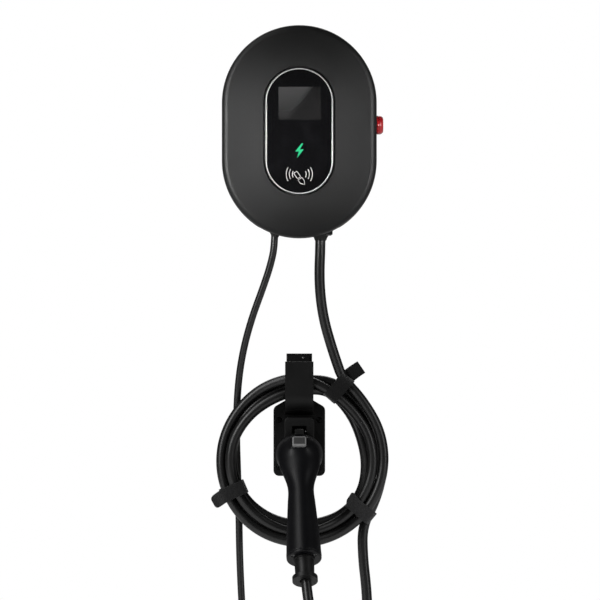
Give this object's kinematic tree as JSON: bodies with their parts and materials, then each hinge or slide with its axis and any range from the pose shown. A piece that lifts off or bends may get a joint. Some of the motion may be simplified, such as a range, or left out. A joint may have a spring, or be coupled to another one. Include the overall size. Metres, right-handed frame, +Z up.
{
  "type": "ev wallbox",
  "caption": "Round-ended wall charging box with a display panel, a stop button on its side, and a coiled charging cable whose plug is parked in a wall holster.",
  "frame": {"origin": "middle of the wallbox's bolt pattern, on the wall", "axes": "+X to the viewer's right, +Y into the wall, +Z up"},
  "size_m": [0.2781, 0.2271, 1.0278],
  "materials": {
    "housing_plastic": "fine matte moulded",
    "panel_gloss": "glossy",
    "ring_chrome": "bright",
    "stop_red": "glossy red",
    "cable_rubber": "satin black",
    "holster_plastic": "satin black",
    "connector_plastic": "satin black",
    "button_grey": "satin grey",
    "strap_fabric": "black looped fabric",
    "gland_plastic": "satin black",
    "seal_rubber": "soft",
    "steel_sheet": "zinc plated",
    "steel_screw": "bright",
    "board_green": "solder mask",
    "component_dark": "moulded",
    "terminal_grey": "moulded",
    "screen_grey": "glossy",
    "copper_coil": "bright",
    "contact_silver": "silver plated",
    "wire_insulation": "satin",
    "ribbon_grey": "satin"
  },
  "bodies": {
    "wallbox": {"wall_bracket": "steel_sheet", "rear_housing": "housing_plastic", "front_cover": "housing_plastic", "housing_gasket": "seal_rubber", "cover_screws": "steel_screw", "bezel_ring": "ring_chrome", "display_panel": "panel_gloss", "lcd_module": "screen_grey", "display_board": "board_green", "reader_antenna": "copper_coil", "control_board": "board_green", "board_screws": "steel_screw", "display_screws": "steel_screw", "display_ribbon": "ribbon_grey", "power_supply": "component_dark", "relay_1": "component_dark", "relay_2": "component_dark", "current_sensor": "component_dark", "supply_terminal": "terminal_grey", "charge_terminal": "terminal_grey", "supply_wires": "wire_insulation", "charge_wires": "wire_insulation", "estop_barrel": "component_dark", "estop_locknut": "gland_plastic", "estop_contact_block": "component_dark", "charge_gland_body": "gland_plastic", "charge_gland_nut": "gland_plastic", "charge_gland_seal": "seal_rubber", "charge_gland_locknut": "gland_plastic", "supply_gland_body": "gland_plastic", "supply_gland_nut": "gland_plastic", "supply_gland_seal": "seal_rubber", "supply_gland_locknut": "gland_plastic", "holster_body": "holster_plastic", "charging_cable_coil": "cable_rubber", "charging_cable_drop": "cable_rubber", "charging_cable_tail": "cable_rubber", "supply_cable": "cable_rubber", "strap_1": "strap_fabric", "strap_2": "strap_fabric", "strap_3": "strap_fabric", "connector_shell": "connector_plastic", "connector_front": "connector_plastic", "connector_seal": "seal_rubber", "contact_pins": "contact_silver", "latch_pin": "steel_screw", "connector_end_cap": "connector_plastic", "end_cap_screws": "steel_screw", "connector_gland": "gland_plastic"},
    "stop_shaft": {"estop_plunger": "component_dark"},
    "stop_head": {"estop_head": "stop_red"},
    "latch": {"latch_lever": "connector_plastic"},
    "button": {"latch_button": "button_grey"}
  },
  "joints": [
    {"name": "estop_press", "type": "slide", "parent": "wallbox", "child": "stop_shaft", "axis": [-1, 0, 0], "range_m": [0, 0.004]},
    {"name": "estop_twist", "type": "hinge", "parent": "stop_shaft", "child": "stop_head", "pos_m": [0.12, -0.038, 0.0114], "axis": [-1, 0, 0], "range_deg": [0, 30], "stiffness_Nm_per_rad": 0.02},
    {"name": "latch_pivot", "type": "hinge", "parent": "wallbox", "child": "latch", "pos_m": [0, -0.068, -0.4755], "axis": [1, 0, 0], "range_deg": [0, 5.5], "stiffness_Nm_per_rad": 0.4, "springref_deg": -5.73},
    {"name": "button_press", "type": "slide", "parent": "wallbox", "child": "button", "axis": [0, 0.7507, -0.6606], "range_m": [0, 0.00222]}
  ],
  "couplings": [
    {"joint": "button_press", "follows": "latch_pivot", "m_per_rad": 0.02305}
  ]
}
